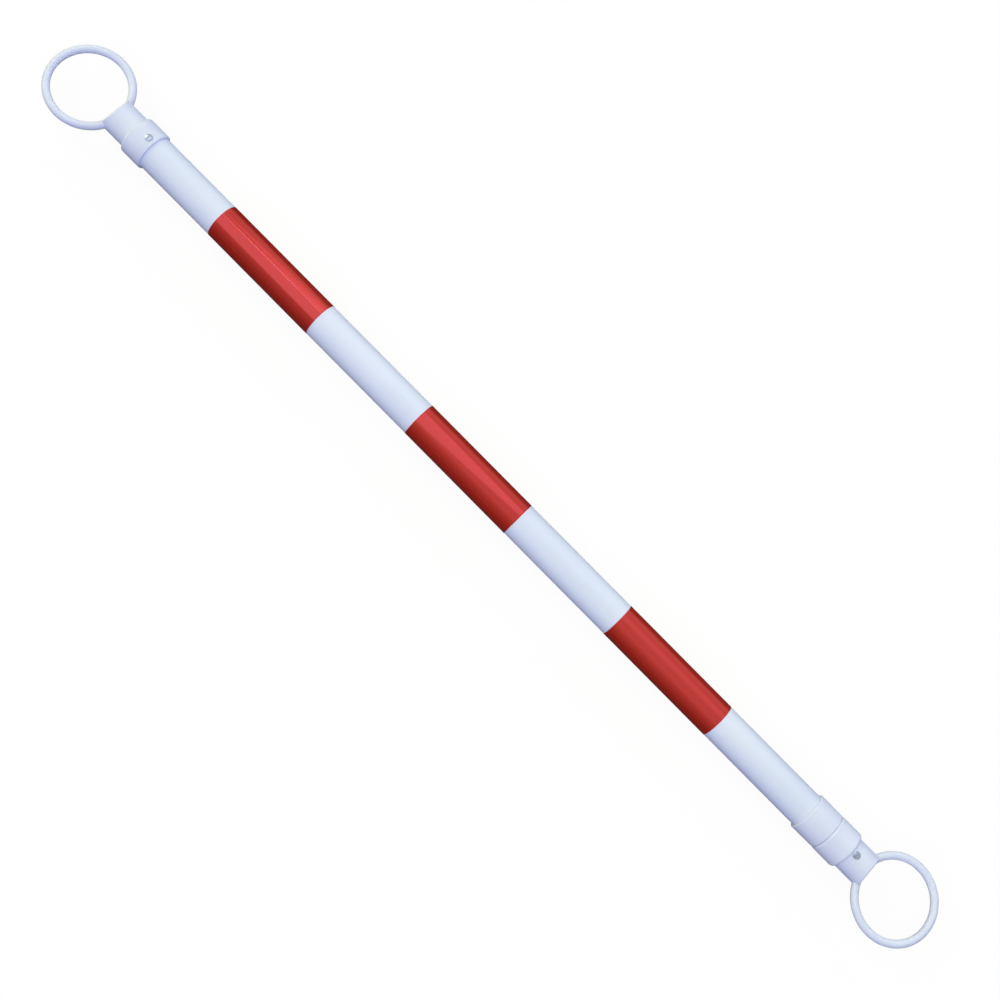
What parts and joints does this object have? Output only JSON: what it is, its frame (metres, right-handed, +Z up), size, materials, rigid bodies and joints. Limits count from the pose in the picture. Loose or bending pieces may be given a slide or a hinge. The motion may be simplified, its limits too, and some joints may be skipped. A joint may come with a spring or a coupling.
{
  "type": "cone bar",
  "caption": "Telescopic bar that hangs between traffic cones: striped outer tube, sliding inner tube and a moulded ring at each end.",
  "frame": {"origin": "centre of the bar's footprint when pushed home, on the plane that its collars lie on", "axes": "+X along the bar from the fixed ring to the sliding ring, +Z up along the axes of the rings"},
  "size_m": [1.216, 0.092, 0.044],
  "materials": {
    "white_tube": "satin white extruded plastic",
    "white_moulding": "satin white moulded plastic",
    "red_film": "glossy red film",
    "rivet_metal": "bright aluminium",
    "mandrel_steel": "plain steel",
    "plug_plastic": "grey moulded plastic",
    "friction_rubber": "black rubber"
  },
  "bodies": {
    "outer": {"outer_tube": "white_tube", "red_band_1": "red_film", "red_band_2": "red_film", "red_band_3": "red_film", "fixed_ring_end": "white_moulding", "fixed_rivet": "rivet_metal", "fixed_rivet_mandrel": "mandrel_steel", "mouth_collar": "white_moulding"},
    "friction_rings": {"friction_ring_1": "friction_rubber", "friction_ring_2": "friction_rubber"},
    "inner": {"inner_tube": "white_tube", "sliding_ring_end": "white_moulding", "sliding_rivet": "rivet_metal", "sliding_rivet_mandrel": "mandrel_steel", "slide_plug": "plug_plastic", "plug_pin": "mandrel_steel"}
  },
  "joints": [
    {"name": "bar_extend", "type": "slide", "parent": "outer", "child": "friction_rings", "axis": [1, 0, 0], "range_m": [0, 0.7827]},
    {"name": "inner_twist", "type": "hinge", "parent": "friction_rings", "child": "inner", "pos_m": [0, 0, 0.0213], "axis": [1, 0, 0], "continuous": true}
  ]
}
